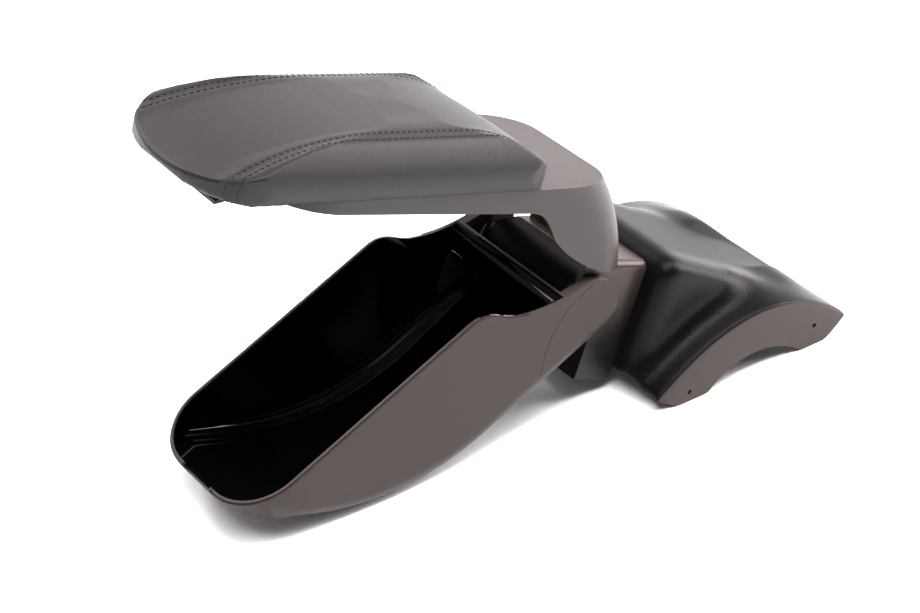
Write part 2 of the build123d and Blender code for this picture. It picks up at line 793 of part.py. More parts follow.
with BuildPart() as base_saddle:
    add(saddle_block(0))
    creases = base_saddle.edges().filter_by(lambda edge: abs(edge.center().Y) > crease_half - crest_step)
    fillet(creases.filter_by(GeomType.BSPLINE).group_by(SortBy.LENGTH)[-1], crease_fillet)
    add(pocket.part, mode=Mode.SUBTRACT)
    add(saddle_block(saddle_wall), mode=Mode.SUBTRACT)
    tail_foot = saddle_rear_edge - saddle_wall
    arch_top = ((foot_front[1] + foot_rear[0]) / 2, flange_arch)
    with BuildSketch(Plane.XZ) as underside:
        with BuildLine():
            Polyline(
                (foot_front[1], 0),
                (foot_front[0], 0),
                (post_foot_x, flange_front_rise),
                (0, flange_front_rise),
                (0, -2 * saddle_skirt),
                (2 * saddle_rear_x, -2 * saddle_skirt),
                (2 * saddle_rear_x, tail_foot),
                (saddle_rear_x, tail_foot),
                (foot_rear[1], 0),
                (foot_rear[0], 0),
            )
            ThreePointArc((foot_rear[0], 0), arch_top, (foot_front[1], 0))
        make_face()
        fillet(underside.vertices().filter_by_position(Axis.Y, -running_gap, running_gap), foot_round)
    extrude(amount=2 * saddle_half_width, both=True, mode=Mode.SUBTRACT)
    with BuildSketch(Plane.XZ):
        with Locations(*flange_holes):
            Circle(flange_hole_radius)
    extrude(amount=2 * saddle_half_width, both=True, mode=Mode.SUBTRACT)
    extrude(bolt_discs(bolt_radius + bolt_hole_gap, 0), amount=-saddle_wall, mode=Mode.SUBTRACT)
base_saddle.part.label = "base_saddle"
export_step(base_saddle.part, "parts/base_saddle.step")

# Clamping plate, washers and bolts inside the saddle
plate_front = -saddle_wall
with BuildPart() as mounting_plate:
    with BuildSketch(post_face.offset(plate_front)):
        with Locations((0, (plate_low + plate_high) / 2)):
            Rectangle(2 * plate_half_width, plate_high - plate_low)
    extrude(amount=-plate_thickness)
    plate_holes = bolt_discs(bolt_radius + bolt_hole_gap, plate_front)
    extrude(plate_holes, amount=-plate_thickness, mode=Mode.SUBTRACT)
mounting_plate.part.label = "mounting_plate"
export_step(mounting_plate.part, "parts/mounting_plate.step")

washer_front = plate_front - plate_thickness
with BuildPart() as bolt_washers:
    extrude(bolt_discs(bolt_washer_radius, washer_front), amount=-bolt_washer_thickness)
    washer_holes = bolt_discs(bolt_radius + bolt_hole_gap, washer_front)
    extrude(washer_holes, amount=-bolt_washer_thickness, mode=Mode.SUBTRACT)
bolt_washers.part.label = "bolt_washers"
export_step(bolt_washers.part, "parts/bolt_washers.step")

head_front = washer_front - bolt_washer_thickness
with BuildPart() as post_bolts:
    with BuildSketch(post_face.offset(head_front)):
        with Locations(*[(side * bolt_half_spacing, row) for row in bolt_rows for side in (-1, 1)]):
            RegularPolygon(bolt_head_radius, 6)
    extrude(amount=-bolt_head_height)
    extrude(bolt_discs(bolt_radius, head_front), amount=bolt_bite - head_front)
post_bolts.part.label = "post_bolts"
export_step(post_bolts.part, "parts/post_bolts.step")

# Latch that hangs from the lid's front
toe_top = latch_pin_place[1] - latch_hang + latch_toe_height
with BuildPart() as latch_lever:
    with BuildSketch(lid_side):
        with Locations(latch_pin_place):
            Circle(latch_barrel_radius)
        with Locations((latch_pin_place[0], latch_pin_place[1] - latch_hang / 2)):
            Rectangle(latch_thickness, latch_hang)
        with BuildLine():
            Polyline(
                (latch_pin_place[0], toe_top),
                (latch_pin_place[0], toe_top - latch_toe_height),
                (latch_pin_place[0] + latch_toe, toe_top - latch_toe_height),
                (latch_pin_place[0] + latch_toe, toe_top),
                close=True,
            )
        make_face()
        with BuildLine():
            Polyline(
                (latch_pin_place[0], toe_top),
                (latch_pin_place[0], toe_top - latch_toe_height),
                (latch_pin_place[0] - latch_tab, toe_top - 2 * latch_toe_height),
                (latch_pin_place[0] - latch_tab, toe_top - latch_toe_height),
                close=True,
            )
        make_face()
        with Locations(latch_pin_place):
            Circle(latch_pin_radius + running_gap, mode=Mode.SUBTRACT)
    extrude(amount=latch_half_width, both=True)
    spring_room = disc(lid_side, latch_barrel_radius + spring_gap, latch_pin_place)
    extrude(spring_room, amount=spring_half_width + face_gap, both=True, mode=Mode.SUBTRACT)
latch_lever.part.label = "latch_lever"
export_step(latch_lever.part, "parts/latch_lever.step")

with BuildPart() as latch_pin:
    extrude(disc(lid_side, latch_pin_radius, latch_pin_place), amount=lug_outer, both=True)
latch_pin.part.label = "latch_pin"
export_step(latch_pin.part, "parts/latch_pin.step")

with BuildPart() as latch_spring:
    spring_radius = latch_pin_radius + spring_gap + spring_wire
    spring_disc = disc(lid_side, spring_radius + spring_wire, latch_pin_place)
    extrude(spring_disc, amount=spring_half_width, both=True)
    spring_bore = disc(lid_side, spring_radius - spring_wire, latch_pin_place)
    extrude(spring_bore, amount=spring_half_width, both=True, mode=Mode.SUBTRACT)
latch_spring.part.label = "latch_spring"
export_step(latch_spring.part, "parts/latch_spring.step")
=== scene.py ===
"""Looks of a car centre armrest: sewn leather pad, satin and gloss plastic, grained saddle."""
import json
import math

import bmesh
import bpy
import numpy as np
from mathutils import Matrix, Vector
from mathutils.bvhtree import BVHTree


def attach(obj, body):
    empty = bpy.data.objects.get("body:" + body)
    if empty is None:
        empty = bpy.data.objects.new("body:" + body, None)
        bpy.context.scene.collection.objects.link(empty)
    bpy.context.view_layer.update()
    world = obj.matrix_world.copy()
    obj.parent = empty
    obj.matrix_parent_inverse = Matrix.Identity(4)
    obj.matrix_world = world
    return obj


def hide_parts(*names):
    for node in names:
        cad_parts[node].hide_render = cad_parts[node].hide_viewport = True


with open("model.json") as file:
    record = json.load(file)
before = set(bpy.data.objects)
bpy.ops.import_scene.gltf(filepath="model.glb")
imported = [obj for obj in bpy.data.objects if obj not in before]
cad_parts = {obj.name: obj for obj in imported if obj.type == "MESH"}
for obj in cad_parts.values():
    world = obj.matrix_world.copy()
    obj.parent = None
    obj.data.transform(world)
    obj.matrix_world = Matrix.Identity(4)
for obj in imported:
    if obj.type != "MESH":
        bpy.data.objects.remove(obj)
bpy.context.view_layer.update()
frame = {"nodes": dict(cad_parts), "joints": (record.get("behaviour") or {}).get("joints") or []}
nodes = frame["nodes"]
joints = {joint["name"]: joint for joint in frame["joints"]}

# where the bin, the lid and the pad lie, in metres and radians
axle = Vector(joints["lid_hinge"]["pos_m"])
bin_pitch = math.radians(24.7)
lid_pitch = math.radians(-19.5)
seat_pitch = math.radians(-16.67)
bow_sweep = math.radians(44.2)
seat_origin = Vector((0.0564, 0.0, 0.18789))
seat_along = Vector((math.cos(seat_pitch), 0, math.sin(seat_pitch)))
seat_normal = Vector((-math.sin(seat_pitch), 0, math.cos(seat_pitch)))

# the bin's inner skin in the bin's frame, whose inside is painted near-black as shade, and the
# knuckle that stands in it, painted dull black as shade
skin_half_floor = 0.049
skin_corner = 0.0145
skin_rim = 0.0697
skin_rear = 0.0345
bow_start = 0.115
bow_centre = 0.167
bow_inner = 0.182
nose_half = 0.022
nose_start = 0.252
nose_corner = 0.0415
knuckle_front = 0.021
knuckle_half = 0.0475

# the sink mark on the lid's cheek, in the lid's frame
sink_along = -0.0202
sink_above = 0.0653

# the sewn pad
pad_voxel = 0.003
pad_slack = 0.0015
pad_pressure = 4.0
pad_frames = 20
pad_reach = 0.0025
pad_hold = 0.013
pad_lead = 0.0072
pad_tail = 0.006
pad_flatness = 0.93
pad_shoulder = 0.002
seam_offset = 0.0505
seam_flare = 0.2
seam_depth = 0.0005
seam_spread = 0.0018
row_offset = 0.0031
row_spread = 0.0016
row_depth = 0.00035
pucker = 0.00015
stitch_pitch = 0.00475
stitch_length = 0.0036
stitch_thickness = 0.0009
stitch_lift = 0.0001
pad_rear_edge = -0.064
pad_length = 0.27
pad_half_width = 0.06
pad_crown = 0.03
shoulder_offset = 0.058
shoulder_spread = 0.008
seam_front = -0.235
seam_front_run = 0.1
seam_rear = -0.115
seam_rear_run = 0.05

# the formed saddle
saddle_voxel = 0.0016
saddle_rounds = 110
flange_line = 0.0925
ridge_height = 0.003
ridge_offset = 0.071
ridge_spread = 0.0055
ridge_foot = 0.012
ridge_end = 0.185
ridge_fade = 0.04
soften_widths = (0.066, 0.074, 0.088, 0.091)
soften_shares = (1.0, 0.35, 0.25, 0.0)
foot_height = 0.004
foot_fade = 0.006
tail_start = 0.172
tail_half = 0.062
tail_share = 0.3

# CAD edges sharper than this stay crisp
crisp_angle = math.radians(32)

# the floor's half size, and its colour in diffuse light and as seen
floor_half = 40
floor_grey = (0.4, 0.4, 0.4)
floor_white = (1.5, 1.6, 1.6)

# studio lights: direction, cosines of the soft edge, strength
right_box = ((0.9, -0.23, 0.37), 0.945, 0.975, 10.0)
top_box = ((0.15, 0.1, 0.98), 0.85, 0.93, 0.8)
strip_box = ((-0.05, 0.78, 0.62), 0.985, 0.993, 16.0)
backdrop_level = 1.9
long_box_level = 11.0
room_level = 0.1


class Value:
    """A shader socket that takes part in Python arithmetic."""

    def __init__(self, finish, socket):
        self.finish = finish
        self.socket = socket

    def maths(self, operation, *values):
        return self.finish.add("ShaderNodeMath", {"operation": operation}, dict(enumerate(values)))

    def __add__(self, other):
        return self.maths("ADD", self, other)

    def __sub__(self, other):
        return self.maths("SUBTRACT", self, other)

    def __rsub__(self, other):
        return self.maths("SUBTRACT", other, self)

    def __mul__(self, other):
        return self.maths("MULTIPLY", self, other)

    def __gt__(self, other):
        return self.maths("GREATER_THAN", self, other)

    def __lt__(self, other):
        return self.maths("LESS_THAN", self, other)

    def __abs__(self):
        return self.maths("ABSOLUTE", self)

    def least(self, other):
        return self.maths("MINIMUM", self, other)

    def most(self, other):
        return self.maths("MAXIMUM", self, other)

    def power(self, exponent):
        return self.maths("POWER", self, exponent)

    def ease(self, low, high):
        """0 below low and 1 above high, smooth between them."""
        settings = {"interpolation_type": "SMOOTHSTEP"}
        return self.finish.add("ShaderNodeMapRange", settings, {0: self, 1: low, 2: high})

    __radd__ = __add__
    __rmul__ = __mul__


class Finish:
    """One node tree of a material or of the world."""

    def __init__(self, tree):
        self.tree = tree
        self.tree.nodes.clear()

    def add(self, kind, settings=None, sockets=None, output=0):
        node = self.tree.nodes.new(kind)
        for name, value in (settings or {}).items():
            setattr(node, name, value)
        for name, value in (sockets or {}).items():
            if isinstance(value, Value):
                self.tree.links.new(node.inputs[name], value.socket)
            else:
                node.inputs[name].default_value = value
        return Value(self, node.outputs[output])

    def place(self):
        return self.add("ShaderNodeTexCoord", output="Object")

    def axes(self, vector):
        return [self.add("ShaderNodeSeparateXYZ", None, {0: vector}, name) for name in "XYZ"]

    def turned(self, origin, pitch):
        """Distances along, across and above a plane that is pitched about the Y axis."""
        x, y, z = self.axes(self.place())
        x = x - origin.x
        z = z - origin.z
        along = x * math.cos(pitch) + z * math.sin(pitch)
        above = z * math.cos(pitch) - x * math.sin(pitch)
        return along, y, above

    def noise(self, scale, detail=2.0, place=None):
        sockets = {"Vector": place or self.place(), "Scale": scale, "Detail": detail}
        return self.add("ShaderNodeTexNoise", None, sockets, 0)

    def tint(self, factor, first, second):
        """A colour between two colours."""
        sockets = {0: factor, 6: (*first, 1), 7: (*second, 1)}
        return self.add("ShaderNodeMix", {"data_type": "RGBA"}, sockets, 2)

    def bump(self, height, strength, distance, normal=None):
        sockets = {"Height": height, "Strength": strength, "Distance": distance}
        if normal:
            sockets["Normal"] = normal
        return self.add("ShaderNodeBump", None, sockets, "Normal")

    def surface(self, sockets):
        return self.add("ShaderNodeBsdfPrincipled", None, sockets, "BSDF")

    def blend(self, factor, first, second):
        return self.add("ShaderNodeMixShader", None, {0: factor, 1: first, 2: second})

    def show(self, shader):
        self.add_output("ShaderNodeOutputMaterial", shader)

    def add_output(self, kind, shader):
        output = self.tree.nodes.new(kind)
        self.tree.links.new(output.inputs["Surface"], shader.socket)


def new_finish(name):
    material = bpy.data.materials.new(name)
    material.use_nodes = True
    return material, Finish(material.node_tree)


def satin(finish, dark, light, roughness, level=0.2, marks=None):
    """Moulded satin plastic with a faint skin texture and handling haze."""
    haze = finish.noise(22.0, 3.0)
    skin = finish.noise(3200.0, 1.0)
    height = skin if marks is None else skin * 0.25 + marks
    return finish.surface({
        "Base Color": finish.tint(haze, dark, light),
        "Roughness": haze * 0.1 + (roughness - 0.05),
        "Specular IOR Level": level,
        "Normal": finish.bump(height, 0.05 if marks is None else 0.35, 0.0004),
    })


def gloss(finish, dark, light, roughness, level):
    """Polished plastic with a faint ripple of the mould."""
    ripple = finish.noise(30.0, 1.0)
    return finish.surface({
        "Base Color": finish.tint(ripple, dark, light),
        "Roughness": ripple * 0.04 + (roughness - 0.02),
        "Specular IOR Level": level,
        "Normal": finish.bump(ripple, 0.02, 0.002),
    })


def cap_plastic():
    material, finish = new_finish("satin_cap_plastic")
    finish.show(satin(finish, (0.070, 0.056, 0.051), (0.083, 0.067, 0.061), 0.42))
    return material


def bin_plastic():
    """Satin outside and polished inside, split at the middle of the wall; the inside's near-black
    colour is painted shade.
    """
    material, finish = new_finish("bin_plastic")
    outside = satin(finish, (0.070, 0.056, 0.051), (0.083, 0.067, 0.061), 0.42)
    # painted shade: the near-black colour stands in for the shade inside the covered bin, while the
    # polish is real
    inside = gloss(finish, (0.001, 0.001, 0.001), (0.002, 0.002, 0.002), 0.04, 0.5)
    along, across, above = finish.turned(axle, bin_pitch)
    width = abs(across)
    side = (width - skin_half_floor).most(0.0)
    ahead = (along + bow_start).least(0.0)
    down = bow_centre - above
    radial = (ahead.power(2.0) + down.power(2.0)).power(0.5)
    past = (down * math.sin(bow_sweep) + ahead * math.cos(bow_sweep)) < 0.0
    spoke = down * math.cos(bow_sweep) - ahead * math.sin(bow_sweep)
    bow_depth = radial * (1.0 - past) + spoke * past
    drop = (bow_depth - bow_inner).most(0.0)
    round_side = (side.power(2.0) + drop.power(2.0)).power(0.5)
    nose_side = (width - nose_half).most(0.0)
    nose_run = (along * -1.0 - nose_start).most(0.0)
    round_nose = (nose_side.power(2.0) + nose_run.power(2.0)).power(0.5)
    rear = (along.power(2.0) + above.power(2.0)).power(0.5)
    mask = (round_side < skin_corner) * (round_nose < nose_corner)
    mask = mask * (above < skin_rim) * (rear > skin_rear)
    finish.show(finish.blend(mask, outside, inside))
    return material


def lid_plastic():
    material, finish = new_finish("satin_lid_plastic")
    along, across, above = finish.turned(axle, lid_pitch)
    spot = ((along - sink_along).power(2.0) + (above - sink_above).power(2.0)).power(0.5)
    mark = 1.0 - spot.ease(0.004, 0.006)
    finish.show(satin(finish, (0.044, 0.035, 0.032), (0.053, 0.043, 0.039), 0.38, 0.42, mark * 0.2))
    return material


def post_plastic():
    """Semi-gloss outside, with the colour painted darker towards the foot as shade and browner
    higher up as a painted floor reflection, and dull black as painted shade where the knuckle stands
    in the bin.
    """
    material, finish = new_finish("semi_gloss_post_plastic")
    streak = finish.noise(60.0, 3.0)
    # painted shade and reflection: the colour runs from near-black at the foot, as painted shade, to
    # a brownish tone higher up, as a painted reflection of the floor
    height = finish.axes(finish.place())[2] + streak * 0.01
    shown = finish.surface({
        "Base Color": finish.tint(height.ease(0.04, 0.11),
                                  (0.012, 0.010, 0.009), (0.062, 0.046, 0.038)),
        "Roughness": streak * 0.08 + 0.22,
        "Specular IOR Level": 0.3,
        "Normal": finish.bump(finish.noise(1200.0, 1.0), 0.04, 0.0003),
    })
    # painted shade: dull near-black with a weak highlight where the knuckle stands in the shade
    # inside the bin
    knuckle_painted_shade = finish.surface({
        "Base Color": finish.tint(streak, (0.0015, 0.0015, 0.0015), (0.003, 0.003, 0.003)),
        "Roughness": streak * 0.1 + 0.6,
        "Specular IOR Level": 0.08,
    })
    along, across, above = finish.turned(axle, bin_pitch)
    finish.show(finish.blend((along < knuckle_front) * (abs(across) < knuckle_half), shown, knuckle_painted_shade))
    return material


def saddle_plastic():
    """Fine moulded grain on the saddle, duller on its top, and smooth satin on the flanges."""
    material, finish = new_finish("grained_saddle_plastic")
    y = finish.axes(finish.place())[1]
    pebble = finish.add("ShaderNodeTexVoronoi", {"feature": "SMOOTH_F1"},
                        {"Vector": finish.place(), "Scale": 760.0, "Smoothness": 0.5}, "Distance")
    grit = finish.noise(1700.0, 2.0)
    rounded = finish.add("ShaderNodeBevel", {"samples": 6}, {"Radius": 0.005})
    haze = finish.noise(18.0, 3.0)
    grained = finish.surface({
        "Base Color": finish.tint(haze, (0.003, 0.003, 0.0031), (0.006, 0.0058, 0.006)),
        "Roughness": haze * 0.06 + (1.0 - abs(y).ease(0.035, 0.06)) * 0.2 + 0.25,
        "Specular IOR Level": 0.14,
        "Normal": finish.bump(pebble * 0.8 + grit * 0.5, 0.55, 0.0004, rounded),
    })
    smooth = satin(finish, (0.088, 0.072, 0.066), (0.101, 0.084, 0.078), 0.42)
    finish.show(finish.blend(abs(y) > flange_line, grained, smooth))
    return material


def pad_leather():
    """Soft leather: pebbled grain broken by fine creases, with a worn sheen."""
    material, finish = new_finish("black_pad_leather")
    place = finish.place()
    drift = finish.add("ShaderNodeTexNoise", None,
                       {"Vector": place, "Scale": 260.0, "Detail": 2.0}, 1)
    shift = finish.add("ShaderNodeVectorMath", {"operation": "MULTIPLY_ADD"},
                       {0: drift, 1: (0.001, 0.001, 0.001), 2: place})
    cells = finish.add("ShaderNodeTexVoronoi", {"feature": "DISTANCE_TO_EDGE"},
                       {"Vector": shift, "Scale": 980.0}, "Distance")
    pebble = cells.ease(0.0, 0.3)
    pores = finish.noise(2600.0, 2.0)
    haze = finish.noise(26.0, 3.0)
    finish.show(finish.surface({
        "Base Color": finish.tint(haze, (0.011, 0.0107, 0.011), (0.018, 0.0172, 0.0177)),
        "Roughness": haze * 0.1 + (1.0 - pebble) * 0.1 + 0.34,
        "Specular IOR Level": 0.42,
        "Normal": finish.bump(pebble * 0.8 + pores * 0.25, 0.3, 0.0002),
    }))
    return material


def sewing_thread():
    material, finish = new_finish("black_thread")
    twist = finish.noise(2400.0, 2.0)
    finish.show(finish.surface({
        "Base Color": finish.tint(twist, (0.004, 0.004, 0.004), (0.012, 0.012, 0.012)),
        "Roughness": twist * 0.2 + 0.5,
        "Normal": finish.bump(twist, 0.4, 0.0002),
    }))
    return material


def plain_plastic(name, dark, light, roughness):
    material, finish = new_finish(name)
    finish.show(satin(finish, dark, light, roughness))
    return material


def zinc_steel():
    material, finish = new_finish("zinc_plated_steel")
    spangle = finish.noise(420.0, 3.0)
    finish.show(finish.surface({
        "Base Color": finish.tint(spangle, (0.50, 0.50, 0.51), (0.64, 0.64, 0.65)),
        "Roughness": spangle * 0.15 + 0.25,
        "Metallic": 1.0,
        "Normal": finish.bump(spangle, 0.05, 0.0002),
    }))
    return material


def shade_solids():
    """Rounds look round and edges stay crisp, without a change to the meshes."""
    for node in nodes.values():
        for polygon in node.data.polygons:
            polygon.use_smooth = True
        weld = node.modifiers.new("joined_faces", "WELD")
        weld.merge_threshold = 0.00001
        split = node.modifiers.new("crisp_edges", "EDGE_SPLIT")
        split.split_angle = crisp_angle


def paint(names, material):
    for name in names:
        node = nodes[name]
        node.data.materials.clear()
        node.data.materials.append(material)


def seat_place(point):
    offset = point - seat_origin
    return offset.dot(seat_along), offset.y, offset.dot(seat_normal)


def seat_point(along, across, above):
    return seat_origin + seat_along * along + Vector((0, across, 0)) + seat_normal * above


def seam_share(along):
    """How far the seam runs out towards the side near the pad's two ends."""
    front = min(max((seam_front - along) / seam_front_run, 0.0), 1.0)
    rear = min(max((along - seam_rear) / seam_rear_run, 0.0), 1.0)
    return 1.0 + seam_flare * (front * front + 0.6 * rear * rear)


def seam_gap(point):
    """Signed distance from the nearer seam: negative on the middle panel."""
    along, across, above = seat_place(point)
    return abs(across) / seam_share(along) - seam_offset, above


def plain_copy(piece):
    """The piece's mesh with its modifiers worked in, which then leave it."""
    graph = bpy.context.evaluated_depsgraph_get()
    mesh = bpy.data.meshes.new_from_object(piece.evaluated_get(graph))
    piece.modifiers.clear()
    piece.data = mesh
    return mesh


def link(name, mesh):
    piece = bpy.data.objects.new(name, mesh)
    bpy.context.scene.collection.objects.link(piece)
    return piece


def fill_pad(pad):
    """Swells the cover over its filling, held at its foot and along both seams."""
    held = pad.vertex_groups.new(name="held")
    for vertex in pad.data.vertices:
        gap, above = seam_gap(vertex.co)
        if above < pad_hold:
            held.add([vertex.index], 1.0, "REPLACE")
        elif abs(gap) < 0.003:
            held.add([vertex.index], 0.7, "REPLACE")
    cloth = pad.modifiers.new("filling", "CLOTH")
    cloth.settings.use_pressure = True
    cloth.settings.uniform_pressure_force = pad_pressure
    cloth.settings.effector_weights.gravity = 0
    cloth.settings.vertex_group_mass = held.name
    start = [vertex.co.copy() for vertex in pad.data.vertices]
    for step in range(1, pad_frames + 1):
        bpy.context.scene.frame_set(step)
    mesh = plain_copy(pad)
    for vertex, place in zip(mesh.vertices, start):
        move = vertex.co - place
        if move.length > pad_reach:
            move.length = pad_reach
        vertex.co = place + move
    pad.vertex_groups.clear()
    bpy.context.scene.frame_set(1)


def sink_seams(pad):
    """Draws the cover in along both seams, with a pucker at each stitch."""
    shape = bmesh.new()
    shape.from_mesh(pad.data)
    near = [edge for edge in shape.edges
            if all(abs(seam_gap(vert.co)[0]) < 0.007 for vert in edge.verts)]
    bmesh.ops.subdivide_edges(shape, edges=near, cuts=1, use_grid_fill=True)
    shape.normal_update()
    moves = []
    for vert in shape.verts:
        gap, above = seam_gap(vert.co)
        if above > 0.001 and abs(gap) < 0.014:
            sink = seam_depth * math.exp(-(gap / seam_spread) ** 2)
            along = seat_place(vert.co)[0]
            pull = 0.5 - 0.5 * math.cos(2 * math.pi * along / stitch_pitch)
            row = math.exp(-((abs(gap) - row_offset) / row_spread) ** 2)
            moves.append((vert, vert.normal * -(sink + row * (row_depth + pucker * pull))))
    for vert, move in moves:
        vert.co += move
    bmesh.ops.recalc_face_normals(shape, faces=shape.faces)
    shape.to_mesh(pad.data)
    shape.free()


def pad_point(along, across, above):
    """The cover's place for a point of the solid: longer, flatter and fuller at its shoulders."""
    ahead = (pad_rear_edge - along) / pad_length
    middle = max(0.0, 1 - (across / pad_half_width) ** 2)
    along += pad_tail * (1 - ahead) ** 3 * middle - pad_lead * ahead
    shoulder = math.exp(-((abs(across) - shoulder_offset) / shoulder_spread) ** 2)
    lift = pad_shoulder * shoulder * above / pad_crown
    return seat_point(along, across, above * pad_flatness + lift)


def draw_out(pad, skin):
    """Brings what the remesh rounded off back out to the solid's skin."""
    for vertex in pad.data.vertices:
        place, normal, face, distance = skin.find_nearest(vertex.co)
        if (vertex.co - place).dot(normal) < 0:
            vertex.co = vertex.co.lerp(place, 0.85)


def make_pad():
    """The cover: even faces drawn onto the solid's skin, filled, then sewn."""
    shape = bmesh.new()
    shape.from_mesh(nodes["cushion"].data)
    bmesh.ops.remove_doubles(shape, verts=shape.verts, dist=0.00001)
    for vert in shape.verts:
        vert.co = pad_point(*seat_place(vert.co))
    skin = BVHTree.FromBMesh(shape)
    mesh = bpy.data.meshes.new("leather_pad")
    shape.to_mesh(mesh)
    shape.free()
    pad = link("leather_pad", mesh)
    even = pad.modifiers.new("even_faces", "REMESH")
    even.mode = "VOXEL"
    even.voxel_size = pad_voxel
    mesh = plain_copy(pad)
    for vertex in mesh.vertices:
        place, normal, face, distance = skin.find_nearest(vertex.co)
        slack = pad_slack if seat_place(place)[2] > pad_hold else 0.0
        vertex.co = place - normal * slack
    fill_pad(pad)
    finer = pad.modifiers.new("finer_faces", "SUBSURF")
    finer.levels = 1
    finer.render_levels = 1
    plain_copy(pad)
    draw_out(pad, skin)
    sink_seams(pad)
    for polygon in pad.data.polygons:
        polygon.use_smooth = True
    return pad


def soften(mesh):
    """Rounds the hump, its pocket and its foot as a formed sheet is, then raises the ridge."""
    count = len(mesh.vertices)
    places = np.empty(count * 3)
    mesh.vertices.foreach_get("co", places)
    places = places.reshape(-1, 3)
    ends = np.empty(len(mesh.edges) * 2, dtype=int)
    mesh.edges.foreach_get("vertices", ends)
    first, second = ends.reshape(-1, 2).T
    degree = np.bincount(first, minlength=count) + np.bincount(second, minlength=count)
    width = np.abs(places[:, 1])
    share = np.interp(width, soften_widths, soften_shares)
    share *= np.clip((places[:, 2] - foot_height) / foot_fade, 0, 1)
    share[(places[:, 0] > tail_start) & (width < tail_half)] *= tail_share
    for step in range(saddle_rounds):
        total = np.empty_like(places)
        for axis in range(3):
            total[:, axis] = np.bincount(first, places[second, axis], count)
            total[:, axis] += np.bincount(second, places[first, axis], count)
        places += 0.5 * share[:, None] * (total / degree[:, None] - places)
    width = np.abs(places[:, 1])
    fade = np.clip((places[:, 2] - ridge_foot) / ridge_foot, 0, 1)
    fade *= np.clip((ridge_end - places[:, 0]) / ridge_fade, 0, 1)
    places[:, 2] += fade * ridge_height * np.exp(-((width - ridge_offset) / ridge_spread) ** 2)
    mesh.vertices.foreach_set("co", places.ravel())


def make_saddle():
    """The formed shell between the flanges, and the flanges as the solid has them."""
    solid = bmesh.new()
    solid.from_mesh(nodes["base_saddle"].data)
    bmesh.ops.remove_doubles(solid, verts=solid.verts, dist=0.00001)
    mesh = bpy.data.meshes.new("saddle_shell")
    solid.to_mesh(mesh)
    shell = link("saddle_shell", mesh)
    even = shell.modifiers.new("even_faces", "REMESH")
    even.mode = "VOXEL"
    even.voxel_size = saddle_voxel
    soften(plain_copy(shell))
    formed = bmesh.new()
    formed.from_mesh(shell.data)
    for side in (-1, 1):
        trim(formed, side, True)
        flange = solid.copy()
        trim(flange, side, False)
        mesh = bpy.data.meshes.new("flange")
        flange.to_mesh(mesh)
        flange.free()
        formed.from_mesh(mesh)
        bpy.data.meshes.remove(mesh)
    formed.to_mesh(shell.data)
    formed.free()
    solid.free()
    for polygon in shell.data.polygons:
        polygon.use_smooth = True
    split = shell.modifiers.new("crisp_edges", "EDGE_SPLIT")
    split.split_angle = crisp_angle
    return shell


def trim(shape, side, inner):
    """Keeps what lies inside or outside the flange line of one side."""
    everything = shape.verts[:] + shape.edges[:] + shape.faces[:]
    bmesh.ops.bisect_plane(shape, geom=everything, plane_co=(0, side * flange_line, 0),
                           plane_no=(0, side, 0), clear_outer=inner, clear_inner=not inner)


def seam_row(pad, side, gap):
    """The line where a stitch row lies on the pad, from its front foot to its rear foot."""
    shape = bmesh.new()
    shape.from_mesh(pad.data)
    cover = BVHTree.FromBMesh(shape)
    for vert in shape.verts:
        vert.co.y /= seam_share(seat_place(vert.co)[0])
    everything = shape.verts[:] + shape.edges[:] + shape.faces[:]
    cut = bmesh.ops.bisect_plane(shape, geom=everything, plane_co=(0, side * (seam_offset + gap), 0),
                                 plane_no=(0, 1, 0))["geom_cut"]
    points = []
    for item in cut:
        if isinstance(item, bmesh.types.BMVert):
            along, across, above = seat_place(item.co)
            across *= seam_share(along)
            outward = cover.find_nearest(seat_point(along, across, above))[1]
            if above > 0.003 and outward.dot(seat_normal) > -0.2:
                points.append((along, across, above))
    shape.free()
    middle = (min(p[0] for p in points) + max(p[0] for p in points)) / 2
    points.sort(key=lambda p: math.atan2(p[2] + 0.02, p[0] - middle))
    line = []
    for start in range(0, len(points) - 2, 4):
        group = points[start:start + 8]
        middle = seat_point(*(sum(values) / len(group) for values in zip(*group)))
        place, normal, face, distance = cover.find_nearest(middle)
        line.append(place + normal * stitch_lift)
    return line


